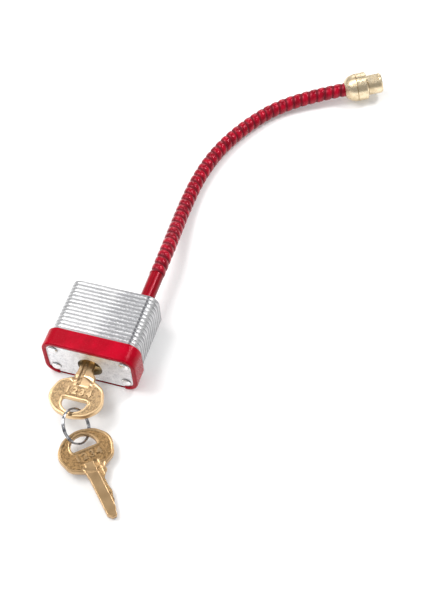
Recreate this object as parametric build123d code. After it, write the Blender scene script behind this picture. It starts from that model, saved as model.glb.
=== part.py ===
from build123d import *
import math
import os

os.makedirs("parts", exist_ok=True)

# A small laminated steel padlock whose shackle is a flexible cable in a red sleeve.
# Millimetres. X is the lock's width, Y runs from the keyway face to the face that the
# cable leaves, and Z is up. The lock lies on its back: the origin is on the bumper's back
# face, midway across it and midway along the bumper's sides.

# ---- stack of plates ----
body_width = 28.6
body_depth = 14.3
plate_corner = 3.4
plate_edge_break = 0.16
plate_thickness = 1.4
plate_count = 18
last_cylinder_plate = 10
first_lever_plate = 15

# ---- bumper round the keyway end ----
bumper_wall = 0.95
bumper_height = 6.0
bumper_lip = 0.4
bumper_lip_cover = 0.5
bumper_edge_round = 0.35
bumper_back_relief = 1.6

# ---- rivets through the stack ----
rivet_side_inset = 2.8
rivet_face_inset = 2.85
rivet_shank_radius = 0.95
rivet_head_radius = 1.75
rivet_head_height = 0.75
rivet_tail_radius = 1.5
rivet_tail_height = 0.3
rivet_clearance = 0.03

# ---- lock cylinder ----
cylinder_drop = 0.8
keyway_hole_radius = 4.0
plug_radius = 4.1
plug_clearance = 0.05
case_radius = 5.6
case_clearance = 0.03
ridge_half_width = 1.9
ridge_reach = 11.3
cover_thickness = 0.55
cover_half_width = 1.25
cover_end_margin = 0.8
plug_neck_radius = 2.9
plug_neck_length = 1.8
neck_clearance = 0.08
groove_start = 0.12
clip_thickness = 0.5
clip_inner_radius = 2.55
clip_outer_radius = 4.6
clip_opening = 2.4
clip_slack = 0.05
drive_slot_depth = 1.0
drive_slot_width = 1.6

# ---- pins ----
pin_count = 4
pin_first = 2.0
pin_pitch = 2.4
pin_radius = 0.96
chamber_radius = 1.04
pin_tip_radius = 0.35
pin_tip_length = 0.55
pin_gap = 0.06
driver_length = 2.6
pin_spring_wire = 0.14
pin_spring_radius = 0.72
pin_spring_turns = 6

# ---- key ----
key_thickness = 1.9
key_projection = 5.9
bow_half_width = 8.5
bow_height = 12.6
bow_shoulder_round = 3.5
bow_shoulder_half_flat = 4.3
bow_side_round = 5.1
bow_side_drop = 5.9
bow_end_round = 7.2
bow_hole_half_width = 4.05
bow_hole_start = 6.3
bow_hole_height = 4.7
bow_hole_corner = 0.7
key_neck_half_width = 3.1
key_neck_length = 2.6
blade_spine = 2.9
blade_length = 17.3
first_cut_height = 1.6
cut_heights = [1.6, 1.1, 0.45, -0.15]
cut_half_flat = 0.45
grip_valley_height = 1.35
keyway_top = 2.6
key_clearance = 0.06
ward_offset = -1.1
ward_half_width = 0.5
ward_depth = 0.35

# ---- cam, levers and lever springs ----
lever_travel = 1.8
lever_slack = 0.05
cam_radius = 2.3
cam_clearance = 0.06
peg_radius = 0.6
peg_slot_clearance = 0.09
lever_gap = 0.2
lever_depth = 2.9
lever_tail = 2.6
lever_engagement = 1.0
tab_near = 2.8
tab_far = 4.0
tab_height = 2.4
lever_spring_wire = 0.16
lever_spring_radius = 0.85
lever_spring_turns = 6
lever_spring_end = 3.15
pocket_clearance = 0.1
lever_nose_thickness = 1.15
lever_nose_margin = 0.4
lever_ramp = 1.6

# ---- cable, anchor and locking end ----
shackle_x = 8.5
cable_radius = 2.45
sleeve_radius = 2.3
sleeve_visible = 13.0
sleeve_clearance = 0.06
core_radius = 1.5
anchor_radius = 3.45
anchor_clearance = 0.05
anchor_length = 4.1
socket_radius = 3.58
socket_relief_radius = 3.75
tip_radius = 3.5
tip_length = 4.9
tip_chamfer = 0.5
tip_head = 1.1
notch_depth = 1.0
undercut_radius = 2.8
undercut_length = 0.4
collar_radius = 4.9
collar_length = 3.9
collar_chamfer = 0.45
dome_length = 4.0
dome_start_radius = 2.75
dome_bulge = 0.72
dome_bulge_place = 0.45
dome_groove = 0.25
notch_facing = (-0.05, 0.3, 0.95)

# ---- key ring and where the loose pieces lie ----
ring_radius = 5.36
ring_wire = 0.31
ring_coil_offset = 0.3
ring_from_shoulder = (2.97, -14.21, -1.22)
ring_axis = (0.798, 0.108, 0.593)
spare_from_shoulder = (11.92, -24.03, -4.5)
spare_heading = 44.3
spare_tilt = 6.2
spare_roll = 4.1

# Corners of the free cable, from the end of the smooth sleeve to the locking end.
cable_corners = [
    (8.5, 44.2, 8.1),
    (7.4, 56.5, 5.2),
    (6.5, 69.5, 2.9),
    (6.8, 82.5, 2.45),
    (9.3, 95.7, 2.45),
    (14.7, 108.4, 2.45),
    (23.2, 121.1, 2.45),
    (36.3, 129.5, 3.9),
]
cable_end = (45.0, 133.6, 4.7)
corner_share = 0.45

# ---- places worked out from the sizes above ----
face_y = -(bumper_height + bumper_lip) / 2 + bumper_lip
top_y = face_y + plate_count * plate_thickness
back_z = bumper_wall
mid_z = back_z + body_depth / 2
axis_z = mid_z - cylinder_drop
case_front = face_y + plate_thickness
case_back = face_y + last_cylinder_plate * plate_thickness
lever_front = face_y + (first_lever_plate - 1) * plate_thickness
lever_back = lever_front + 2 * plate_thickness
cam_front = case_back + plug_neck_length + lever_slack
key_edge_y = face_y - key_projection
key_shoulder = Vector(0, key_edge_y, axis_z)
sleeve_end_y = top_y + sleeve_visible
peg_orbit = lever_travel / (2 * math.sin(math.radians(45)))
socket_edge = shackle_x - socket_relief_radius
lever_nose = socket_edge + lever_engagement
pin_top = math.sqrt(plug_radius**2 - pin_radius**2) - 0.02


# ---- helpers ----
def along_y(profile, y0, y1):
    """Extrude a profile drawn in X and Z from y0 to y1."""
    plane = Plane(origin=(0, y0, 0), x_dir=(1, 0, 0), z_dir=(0, -1, 0))
    return extrude(plane * profile, amount=y1 - y0, dir=(0, 1, 0))


def rod_y(x, z, radius, y0, y1):
    return along_y(Pos(x, z) * Circle(radius), y0, y1)


def rod_x(y, z, radius, x0, x1):
    plane = Plane(origin=(x0, y, z), z_dir=(1, 0, 0))
    return extrude(plane * Circle(radius), amount=x1 - x0)


def block(x0, x1, y0, y1, z0, z1):
    middle = ((x0 + x1) / 2, (y0 + y1) / 2, (z0 + z1) / 2)
    return Pos(*middle) * Box(x1 - x0, y1 - y0, z1 - z0)


def coil_x(y, z, x0, x1, radius, wire, turns):
    """A compression spring along X, its wire ends inside x0 and x1."""
    height = x1 - x0 - 2 * wire
    path = Helix(pitch=height / turns, height=height, radius=radius)
    section = Plane(origin=path @ 0, z_dir=path % 0) * Circle(wire)
    spring = sweep(section, path=path, is_frenet=True)
    return Pos(x0 + wire, y, z) * Rot(0, 90, 0) * spring


def save(shape, node):
    export_step(shape, f"parts/{node}.step")


# ---- plates ----
def plate_blank(y0):
    """One stamped plate with its outer edges broken, before its holes."""
    outline = Pos(0, mid_z) * RectangleRounded(body_width, body_depth, plate_corner)
    blank = along_y(outline, y0, y0 + plate_thickness)
    rims = blank.edges().filter_by(Plane.XZ)
    return chamfer(rims, plate_edge_break)


def rivet_places():
    x = body_width / 2 - rivet_side_inset
    z = body_depth / 2 - rivet_face_inset
    return [(side * x, mid_z + height * z) for side in (-1, 1) for height in (-1, 1)]


def case_outline(growth):
    """The cylinder case's section: a round body and the ridge over the pins."""
    ridge_half = ridge_half_width + growth
    reach = ridge_reach + growth
    ridge = Pos(reach / 2, axis_z) * Rectangle(reach, 2 * ridge_half)
    return Pos(0, axis_z) * Circle(case_radius + growth) + ridge


def lever_pocket():
    """The space for the two levers, their tabs and their springs."""
    gap = pocket_clearance
    half = lever_gap + lever_depth + gap
    reach = shackle_x - anchor_radius + notch_depth + gap
    slots = Pos(0, axis_z) * Rectangle(2 * reach, 2 * half)
    bay_width = tab_far + gap + lever_spring_end
    bay_depth = tab_height + gap
    for side in (-1, 1):
        bay_x = -side * (tab_far + gap - lever_spring_end) / 2
        bay_z = axis_z + side * (half - gap + bay_depth / 2)
        slots += Pos(bay_x, bay_z) * Rectangle(bay_width, bay_depth)
    return slots


def plate_opening(number):
    """What is punched out of plate NUMBER, counted from the keyway face."""
    centre = Pos(0, axis_z)
    if number == 1:
        opening = centre * Circle(keyway_hole_radius)
    elif number <= last_cylinder_plate:
        opening = case_outline(case_clearance)
    elif number == last_cylinder_plate + 1:
        opening = centre * Circle(clip_outer_radius + 0.2)
    elif number == last_cylinder_plate + 2:
        opening = centre * Circle(plug_neck_radius + neck_clearance)
    elif number < first_lever_plate:
        opening = centre * Circle(cam_radius + cam_clearance)
    elif number <= first_lever_plate + 1:
        opening = lever_pocket()
    else:
        opening = Sketch()
    if number > first_lever_plate + 1:
        opening += Pos(-shackle_x, mid_z) * Circle(socket_radius)
        opening += Pos(shackle_x, mid_z) * Circle(sleeve_radius + sleeve_clearance)
    elif number >= first_lever_plate - 1:
        opening += Pos(-shackle_x, mid_z) * Circle(socket_relief_radius)
        opening += Pos(shackle_x, mid_z) * Circle(anchor_radius + anchor_clearance)
    for x, z in rivet_places():
        opening += Pos(x, z) * Circle(rivet_shank_radius + rivet_clearance)
    return opening


def make_plates():
    for number in range(1, plate_count + 1):
        y0 = face_y + (number - 1) * plate_thickness
        plate = plate_blank(y0) - along_y(plate_opening(number), y0 - 1, y0 + plate_thickness + 1)
        save(plate, f"plate_{number:02d}")


def make_rivets():
    """Four rivets, domed at the keyway face and peened flat at the cable face."""
    rivets = []
    sphere_radius = (rivet_head_radius**2 + rivet_head_height**2) / (2 * rivet_head_height)
    for x, z in rivet_places():
        shank = rod_y(x, z, rivet_shank_radius, face_y, top_y)
        tail = rod_y(x, z, rivet_tail_radius, top_y, top_y + rivet_tail_height)
        ball = Pos(x, face_y - rivet_head_height + sphere_radius, z) * Sphere(sphere_radius)
        reach = 2 * sphere_radius
        head = ball & block(x - reach, x + reach, face_y - reach, face_y, z - reach, z + reach)
        rivets.append(shank + tail + head)
    save(Compound(children=[rivet.solid() for rivet in rivets]), "body_rivets")


def make_bumper():
    """A band with a thin lip over the first plate's edge, cut short across the back."""
    outer = RectangleRounded(
        body_width + 2 * bumper_wall, body_depth + 2 * bumper_wall, plate_corner + bumper_wall
    )
    inner = RectangleRounded(body_width, body_depth, plate_corner)
    mouth = RectangleRounded(
        body_width - 2 * bumper_lip_cover,
        body_depth - 2 * bumper_lip_cover,
        plate_corner - bumper_lip_cover,
    )
    centre = Pos(0, mid_z)
    band = along_y(centre * outer, face_y - bumper_lip, face_y + bumper_height)
    band = fillet(band.edges().filter_by(Plane.XZ), bumper_edge_round)
    band -= along_y(centre * inner, face_y, face_y + bumper_height + 1)
    band -= along_y(centre * mouth, face_y - bumper_lip - 1, face_y + 1)
    half_back = body_width / 2 - plate_corner
    relief_end = face_y - bumper_lip + bumper_back_relief
    band -= block(-half_back, half_back, face_y - bumper_lip - 1, relief_end, -1, mid_z)
    save(band, "bumper")


# ---- lock cylinder ----
def pin_places():
    return [case_front + pin_first + number * pin_pitch for number in range(pin_count)]


def make_case():
    case = along_y(case_outline(0), case_front, case_back)
    case -= rod_y(0, axis_z, plug_radius + plug_clearance, case_front - 1, case_back + 1)
    for y in pin_places():
        case -= rod_x(y, axis_z, chamber_radius, plug_radius - 0.5, ridge_reach + 1)
    case -= cover_block(1)
    save(case, "cylinder_case")


def cover_block(overshoot):
    """The strip that closes the pin chambers; its seat reaches OVERSHOOT further out."""
    return block(
        ridge_reach - cover_thickness,
        ridge_reach + overshoot,
        case_front + cover_end_margin,
        pin_places()[-1] + chamber_radius + cover_end_margin,
        axis_z - cover_half_width,
        axis_z + cover_half_width,
    )


def make_plug():
    """The plug with its keyway, pin chambers, clip groove and drive slot."""
    neck_end = case_back + plug_neck_length
    groove_y = case_back + groove_start
    groove_end = groove_y + clip_thickness + 2 * clip_slack
    plug = rod_y(0, axis_z, plug_radius, case_front, case_back)
    plug += rod_y(0, axis_z, plug_neck_radius, case_back, neck_end)
    groove = rod_y(0, axis_z, clip_outer_radius, groove_y, groove_end)
    plug -= groove - rod_y(0, axis_z, clip_inner_radius - clip_slack, groove_y, groove_end)
    half_key = key_thickness / 2 + key_clearance
    keyway = block(
        -blade_spine - key_clearance,
        keyway_top,
        case_front - 1,
        key_edge_y + blade_length + 0.5,
        axis_z - half_key,
        axis_z + half_key,
    )
    plug -= keyway - wards(half_key, case_front - 1, key_edge_y + blade_length + 0.5, key_clearance)
    lowest = min(cut_heights)
    for y in pin_places():
        plug -= rod_x(y, axis_z, chamber_radius, lowest, plug_radius + 1)
    half_slot = drive_slot_width / 2
    plug -= block(
        -plug_radius,
        plug_radius,
        neck_end - drive_slot_depth,
        neck_end + 1,
        axis_z - half_slot,
        axis_z + half_slot,
    )
    save(plug, "plug")


def wards(half_height, y0, y1, clearance):
    """The ribs in the keyway, or the grooves in the blade, on both flat sides."""
    half_width = ward_half_width - clearance
    depth = ward_depth - clearance
    bars = []
    for side in (-1, 1):
        z0 = axis_z + side * (half_height - depth)
        z1 = axis_z + side * (half_height + 1)
        x0 = side * ward_offset
        bars.append(block(x0 - half_width, x0 + half_width, y0, y1, min(z0, z1), max(z0, z1)))
    return bars[0] + bars[1]


def make_clip():
    y0 = case_back + groove_start + clip_slack
    ring = Circle(clip_outer_radius) - Circle(clip_inner_radius)
    mouth = Pos(0, clip_outer_radius) * Rectangle(clip_opening, 2 * clip_outer_radius)
    save(along_y(Pos(0, axis_z) * (ring - mouth), y0, y0 + clip_thickness), "plug_clip")


def make_pins():
    """Key pins in the plug, and drivers and springs in the case, at each chamber."""
    springs = []
    driver_start = plug_radius + plug_clearance + 0.02
    driver_end = driver_start + driver_length
    spring_end = ridge_reach - cover_thickness
    for number, (y, height) in enumerate(zip(pin_places(), cut_heights), start=1):
        tip_x = height + pin_gap
        shoulder_x = tip_x + pin_tip_length
        cone = Cone(pin_tip_radius, pin_radius, pin_tip_length)
        tip = Pos((tip_x + shoulder_x) / 2, y, axis_z) * Rot(0, 90, 0) * cone
        save(tip + rod_x(y, axis_z, pin_radius, shoulder_x, pin_top), f"key_pin_{number}")
        save(rod_x(y, axis_z, pin_radius, driver_start, driver_end), f"driver_pin_{number}")
        springs.append(
            coil_x(
                y,
                axis_z,
                driver_end + 0.02,
                spring_end - 0.02,
                pin_spring_radius,
                pin_spring_wire,
                pin_spring_turns,
            )
        )
    save(Compound(children=[spring.solid() for spring in springs]), "pin_springs")


# ---- key ----
def bow_outline():
    """A wide oval with a flat shoulder on the blade side, its flat edge at y = 0."""
    corner = bow_shoulder_round
    corner_x = bow_shoulder_half_flat
    side_x = bow_half_width - bow_side_round
    circles = [
        Pos(corner_x, -corner) * Circle(corner),
        Pos(-corner_x, -corner) * Circle(corner),
        Pos(side_x, -bow_side_drop) * Circle(bow_side_round),
        Pos(-side_x, -bow_side_drop) * Circle(bow_side_round),
        Pos(0, -bow_height + bow_end_round) * Circle(bow_end_round),
    ]
    return make_hull([circle.edge() for circle in circles])


def bow_hole():
    """A D-shaped hole, flat towards the blade and arched towards the far end."""
    corner = bow_hole_corner
    arch_height = bow_hole_height - corner
    middle = -bow_hole_start - corner
    arch = Pos(0, middle) * Ellipse(bow_hole_half_width, arch_height)
    below = Pos(0, middle - bow_hole_height) * Rectangle(20, 2 * bow_hole_height)
    bar = Rectangle(2 * bow_hole_half_width, 2 * corner)
    bar = fillet(bar.vertices().group_by(Axis.Y)[-1], corner * 0.98)
    return (arch & below) + Pos(0, middle) * bar


def blade_outline():
    """Neck, spine, tip and the cuts, which only fall towards the tip past the first."""
    points = [
        (-key_neck_half_width, -1.5),
        (-key_neck_half_width, key_neck_length),
        (-blade_spine, key_neck_length + 0.4),
        (-blade_spine, blade_length - 1.4),
        (-blade_spine + 1.2, blade_length),
        (cut_heights[-1] - 0.5, blade_length),
        (cut_heights[-1], blade_length - 0.5),
    ]
    pin_from_edge = case_front + pin_first - key_edge_y
    for number in reversed(range(pin_count)):
        y = pin_from_edge + number * pin_pitch
        height = cut_heights[number]
        if number < pin_count - 1:
            points.append((height, y + cut_half_flat))
        points.append((height, y - cut_half_flat))
    valley_end = pin_from_edge - cut_half_flat - 1.0
    points += [
        (grip_valley_height, valley_end - 0.6),
        (grip_valley_height, key_neck_length + 1.9),
        (key_neck_half_width - 0.6, key_neck_length + 0.5),
        (key_neck_half_width, key_neck_length),
        (key_neck_half_width, -1.5),
    ]
    return make_face(Polyline(*points, close=True).edges())


def make_key_blank():
    """A key with its shoulder at y = 0, its blade towards +Y and its cuts towards +X."""
    outline = bow_outline() - bow_hole() + blade_outline()
    key = extrude(outline, amount=key_thickness / 2, both=True)
    half = key_thickness / 2
    grooves = Pos(0, 0, -axis_z) * wards(half, 0.8, blade_length + 1, 0)
    return key - grooves


def spare_place():
    """Where the spare key lies: its tip on the surface, its bow held up by the ring."""
    heading = math.radians(spare_heading)
    tilt = math.radians(spare_tilt)
    roll = math.radians(spare_roll)
    forward = Vector(
        math.sin(heading) * math.cos(tilt), -math.cos(heading) * math.cos(tilt), -math.sin(tilt)
    )
    across = Vector(math.cos(heading), math.sin(heading), 0)
    face = across.cross(forward)
    side = across * math.cos(roll) + face * math.sin(roll)
    shoulder = key_shoulder + Vector(*spare_from_shoulder)
    return Location(Plane(origin=shoulder, x_dir=side, z_dir=side.cross(forward)))


def make_keys():
    key = make_key_blank()
    save(Pos(*key_shoulder) * key, "key_in_lock")
    save(spare_place() * key, "key_spare")


def make_key_ring():
    """A split ring: two turns of wire side by side, each with its end gap."""
    turns = Pos(ring_radius, -ring_coil_offset) * Circle(ring_wire)
    turns += Pos(ring_radius, ring_coil_offset) * Circle(ring_wire)
    ring = revolve(Plane.XZ * turns, Axis.Z)
    plane = Plane(origin=key_shoulder + Vector(*ring_from_shoulder), z_dir=ring_axis)
    save(plane.location * ring, "key_ring")


# ---- cam, levers and springs ----
def make_cam():
    """The cam behind the plug: a tongue in the drive slot, and two eccentric pegs."""
    tongue_half = drive_slot_width / 2 - lever_slack
    tongue = block(
        -cam_radius * 0.9,
        cam_radius * 0.9,
        cam_front - drive_slot_depth,
        cam_front,
        axis_z - tongue_half,
        axis_z + tongue_half,
    )
    cam = rod_y(0, axis_z, cam_radius, cam_front, lever_front - lever_slack) + tongue
    offset = peg_orbit * math.cos(math.radians(45))
    for side in (-1, 1):
        peg_x = -side * offset
        peg_z = axis_z + side * offset
        cam += rod_y(peg_x, peg_z, peg_radius, lever_front - 0.5, lever_back - 0.2)
    save(cam, "lock_cam")


def lever(side):
    """The lever above the plug's axis (side 1, to the socket) or below it (side -1)."""
    y0 = lever_front + lever_slack
    y1 = lever_back - lever_slack
    nose = Vector(-side * lever_nose, 0)
    tail = side * lever_tail
    inner = axis_z + side * lever_gap
    outer = inner + side * lever_depth
    bar = block(
        min(nose.X, tail), max(nose.X, tail), y0, y1, min(inner, outer), max(inner, outer)
    )
    near = -side * tab_near
    far = -side * tab_far
    tab_tip = outer + side * (tab_height - pocket_clearance)
    bar += block(
        min(near, far), max(near, far), y0, y1, min(outer, tab_tip), max(outer, tab_tip)
    )
    half_slot = peg_radius + peg_slot_clearance
    slot_top = axis_z + side * (peg_orbit + peg_radius + peg_slot_clearance)
    slot_x = -side * peg_orbit * math.cos(math.radians(45))
    slot = block(
        slot_x - half_slot,
        slot_x + half_slot,
        y0 - 1,
        y1 + 1,
        min(axis_z, slot_top),
        max(axis_z, slot_top),
    )
    return bar - slot


def make_levers():
    """The socket lever has a thin ramped nose, so that the tip pushes it aside."""
    y0 = lever_front + lever_slack
    y1 = lever_back - lever_slack
    nose_y = y1 - lever_nose_thickness
    reach = lever_engagement + lever_nose_margin
    ramp = block(-lever_nose - 1, -lever_nose + reach, y0 - 1, nose_y, axis_z, axis_z + 9)
    wedge_points = [
        (-lever_nose - 1, y1 + 1),
        (-lever_nose - 1, y1 - lever_ramp),
        (-lever_nose + lever_ramp, y1 + 1),
    ]
    wedge = extrude(make_face(Polyline(*wedge_points, close=True).edges()), amount=axis_z + 9)
    save(lever(1) - ramp - wedge, "toe_lever")
    save(lever(-1), "heel_lever")
    spring_y = (lever_front + lever_back) / 2
    for side, name in ((1, "toe_lever_spring"), (-1, "heel_lever_spring")):
        edge = lever_gap + lever_depth
        spring_z = axis_z + side * (edge + tab_height / 2)
        ends = sorted((-side * (tab_near - 0.02), side * (lever_spring_end - 0.02)))
        spring = coil_x(
            spring_y,
            spring_z,
            ends[0],
            ends[1],
            lever_spring_radius,
            lever_spring_wire,
            lever_spring_turns,
        )
        save(spring, name)


# ---- cable ----
def cable_points():
    return [(shackle_x, sleeve_end_y, mid_z)] + cable_corners + [cable_end]


def corner_radii(points):
    """Each arc takes up its share of the shorter of its two runs."""
    radii = []
    for before, corner, after in zip(points, points[1:], points[2:]):
        run_in = Vector(*corner) - Vector(*before)
        run_out = Vector(*after) - Vector(*corner)
        half_turn = math.radians(run_in.get_angle(run_out)) / 2
        shorter_run = min(run_in.length, run_out.length)
        radii.append(corner_share * shorter_run / math.tan(half_turn))
    return radii


def make_anchor():
    """The ferrule crimped on the cable's fixed end, trapped under the upper plates."""
    y1 = lever_back - lever_slack
    anchor = rod_y(shackle_x, mid_z, anchor_radius, y1 - anchor_length, y1)
    notch_x = shackle_x - anchor_radius + notch_depth + 0.05
    anchor -= block(0, notch_x, lever_front - 0.05, lever_back + 1, 0, mid_z + body_depth)
    save(anchor, "cable_anchor")


def make_sleeve():
    sleeve = rod_y(shackle_x, mid_z, sleeve_radius, lever_back, sleeve_end_y)
    core = rod_y(shackle_x, mid_z, core_radius, lever_back, sleeve_end_y)
    save(sleeve - core, "cable_sleeve")
    save(core, "cable_core")


def make_cord():
    points = cable_points()
    radii = corner_radii(points)
    path = FilletPolyline(*points, radius=radii)
    section = Plane(origin=path @ 0, z_dir=path % 0) * Circle(cable_radius)
    cord = sweep(section, path=path)
    print("cable bend radii:", [round(radius, 1) for radius in radii])
    print("cable length:", round(path.length, 2))
    print("cable volume over section times length:", round(
        cord.volume / (math.pi * cable_radius**2 * path.length), 5))
    save(cord, "cable_cord")


def end_direction():
    return (Vector(*cable_end) - Vector(*cable_corners[-1])).normalized()


def make_end_ferrule():
    """The locking end: a domed collar, an undercut and a tip with a flat notch."""
    dome_end = dome_length
    collar_end = dome_end + collar_length
    tip_start = collar_end + undercut_length
    tip_end = tip_start + tip_length
    bulge_radius = dome_start_radius + dome_bulge * (collar_radius - dome_start_radius)
    profile = Polyline(
        (collar_radius, dome_end + dome_groove),
        (collar_radius, collar_end - collar_chamfer),
        (collar_radius - collar_chamfer, collar_end),
        (undercut_radius, collar_end),
        (undercut_radius, tip_start),
        (tip_radius, tip_start),
        (tip_radius, tip_end - tip_chamfer),
        (tip_radius - tip_chamfer, tip_end),
        (0, tip_end),
        (0, 0),
        (dome_start_radius, 0),
    )
    bulge_end = dome_length * dome_bulge_place
    dome = ThreePointArc((dome_start_radius, 0), (bulge_radius, bulge_end), (collar_radius, dome_end))
    groove = Polyline(
        (collar_radius, dome_end),
        (collar_radius - dome_groove, dome_end + dome_groove / 2),
        (collar_radius, dome_end + dome_groove),
    )
    outline = make_face(profile.edges() + dome.edges() + groove.edges())
    ferrule = revolve(Plane.XZ * outline, Axis.Z)
    flat_x = tip_radius - notch_depth
    notch = block(flat_x, flat_x + 5, -5, 5, tip_start, tip_end - tip_head)
    ferrule -= notch
    axis = end_direction()
    facing = Vector(*notch_facing)
    facing -= axis * facing.dot(axis)
    plane = Plane(origin=cable_end, x_dir=facing, z_dir=axis)
    save(plane.location * ferrule, "end_ferrule")


make_plates()
make_rivets()
make_bumper()
make_case()
save(cover_block(0), "chamber_cover")
make_plug()
make_clip()
make_pins()
make_keys()
make_key_ring()
make_cam()
make_levers()
make_anchor()
make_sleeve()
make_cord()
make_end_ferrule()
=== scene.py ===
import math
import bmesh
import bpy
from mathutils import Matrix, Vector
from mathutils.geometry import delaunay_2d_cdt
from mathutils.kdtree import KDTree


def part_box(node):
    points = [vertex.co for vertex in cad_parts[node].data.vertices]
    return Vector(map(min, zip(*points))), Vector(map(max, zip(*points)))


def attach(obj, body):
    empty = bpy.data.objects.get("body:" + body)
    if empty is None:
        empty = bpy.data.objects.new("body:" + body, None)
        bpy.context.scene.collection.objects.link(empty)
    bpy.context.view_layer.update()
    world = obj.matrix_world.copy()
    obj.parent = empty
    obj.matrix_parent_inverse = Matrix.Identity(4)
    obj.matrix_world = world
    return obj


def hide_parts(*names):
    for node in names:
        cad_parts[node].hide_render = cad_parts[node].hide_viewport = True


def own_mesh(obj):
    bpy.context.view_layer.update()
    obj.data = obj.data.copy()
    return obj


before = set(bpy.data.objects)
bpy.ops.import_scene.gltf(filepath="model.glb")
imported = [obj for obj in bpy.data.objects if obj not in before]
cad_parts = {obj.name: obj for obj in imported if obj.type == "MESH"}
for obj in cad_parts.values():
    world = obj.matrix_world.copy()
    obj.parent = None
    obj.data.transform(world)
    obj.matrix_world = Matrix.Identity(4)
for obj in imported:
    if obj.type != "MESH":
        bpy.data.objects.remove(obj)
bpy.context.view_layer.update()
mm = 0.001


# Studio: a big soft lamp high on the left, a small one that lights the plates' right corners,
# weak ones in front and behind that draw the edges, and a small panel whose sheen lies on the
# left of the plates. The camera looks down from in front and a little from the right.
def aim(place, target):
    """A matrix that stands at place and looks at target along its own -Z."""
    turn = (Vector(target) - Vector(place)).to_track_quat("-Z", "Y")
    return Matrix.Translation(place) @ turn.to_matrix().to_4x4()


camera_target = Vector((0.02851, 0.03087, 0.0081))
camera_distance = 0.43585
camera_azimuth = math.radians(22.06)
camera_elevation = math.radians(53.70)
camera_roll = math.radians(-5.41)
camera_height_angle = math.radians(24.39)
camera_near = 0.01

back = Vector((
    math.sin(camera_azimuth) * math.cos(camera_elevation),
    -math.cos(camera_azimuth) * math.cos(camera_elevation),
    math.sin(camera_elevation),
))
camera = bpy.data.objects.new("camera", bpy.data.cameras.new("camera"))
bpy.context.scene.collection.objects.link(camera)
camera.matrix_world = aim(camera_target + back * camera_distance, camera_target) @ Matrix.Rotation(
    camera_roll, 4, "Z"
)
camera.data.angle = camera_height_angle
camera.data.clip_start = camera_near
bpy.context.scene.camera = camera
bpy.context.scene.view_settings.view_transform = "Standard"


def soft_lamp(name, place, target, size, power):
    """A square soft lamp."""
    lamp = bpy.data.objects.new(name, bpy.data.lights.new(name, "AREA"))
    lamp.data.size = size
    lamp.data.energy = power
    lamp.matrix_world = aim(place, target)
    bpy.context.scene.collection.objects.link(lamp)


soft_lamp("key_lamp", (-0.42, 0.02, 0.70), (0.0, 0.04, 0.0), 0.45, 4.4)
soft_lamp("corner_lamp", (0.19, 0.26, 0.33), (0.012, 0.01, 0.01), 0.10, 0.70)
soft_lamp("front_lamp", (-0.16, -0.31, 0.65), (0.0, 0.02, 0.0), 0.22, 0.55)
soft_lamp("back_lamp", (-0.13, 0.53, 0.25), (0.0, 0.02, 0.0), 0.20, 0.40)
soft_lamp("panel_lamp", (-0.105, 0.115, 0.200), (-0.01, 0.01, 0.01), 0.10, 0.035)

sky_strength = 0.46
world = bpy.data.worlds.new("studio")
bpy.context.scene.world = world
world.use_nodes = True
sky = world.node_tree.nodes["Background"]
sky.inputs["Color"].default_value = (1.0, 1.0, 1.0, 1.0)
sky.inputs["Strength"].default_value = sky_strength


def new_node(tree, kind, values=None, **settings):
    """A node with these settings and these plain input values, by name or number."""
    node = tree.nodes.new(kind)
    for name, value in settings.items():
        setattr(node, name, value)
    for socket, value in (values or {}).items():
        node.inputs[socket].default_value = value
    return node


def new_material(name, color, roughness, metallic=0.0):
    """A material with its Principled shader set to plain values, and that shader."""
    material = bpy.data.materials.new(name)
    material.use_nodes = True
    shader = material.node_tree.nodes["Principled BSDF"]
    shader.inputs["Base Color"].default_value = (*color, 1.0)
    shader.inputs["Roughness"].default_value = roughness
    shader.inputs["Metallic"].default_value = metallic
    return material, shader


def calc(tree, operation, first, second=0.0, third=0.0):
    """One sum on sockets or plain numbers, in a shader tree or a geometry tree."""
    node = new_node(tree, "ShaderNodeMath", operation=operation)
    for socket, value in zip(node.inputs, (first, second, third)):
        if isinstance(value, bpy.types.NodeSocket):
            tree.links.new(value, socket)
        else:
            socket.default_value = value
    return node.outputs[0]


table_size = 3.0
table_grey = (0.80, 0.80, 0.80)
table_roughness = 0.9
table_lift = 0.20
table_reflection_glow = 0.35

paint, paint_shader = new_material("table_paint", table_grey, table_roughness)
paint_shader.inputs["Specular IOR Level"].default_value = 0.0
paint_shader.inputs["Emission Color"].default_value = (1.0, 1.0, 1.0, 1.0)
rays = new_node(paint.node_tree, "ShaderNodeLightPath")
lift = calc(paint.node_tree, "MULTIPLY", rays.outputs["Is Camera Ray"], table_lift)
# Painted reflection: the table also glows to glossy rays, so metal that mirrors it reads brighter.
lift = calc(paint.node_tree, "MULTIPLY_ADD", rays.outputs["Is Glossy Ray"], table_reflection_glow, lift)
paint.node_tree.links.new(lift, paint_shader.inputs["Emission Strength"])
half_table = table_size / 2
table_corners = [(x * half_table, y * half_table, 0) for x, y in ((-1, -1), (1, -1), (1, 1), (-1, 1))]
table_mesh = bpy.data.meshes.new("table")
table_mesh.from_pydata(table_corners, [], [(0, 1, 2, 3)])
table_mesh.materials.append(paint)
table = bpy.data.objects.new("table", table_mesh)
bpy.context.scene.collection.objects.link(table)


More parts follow.
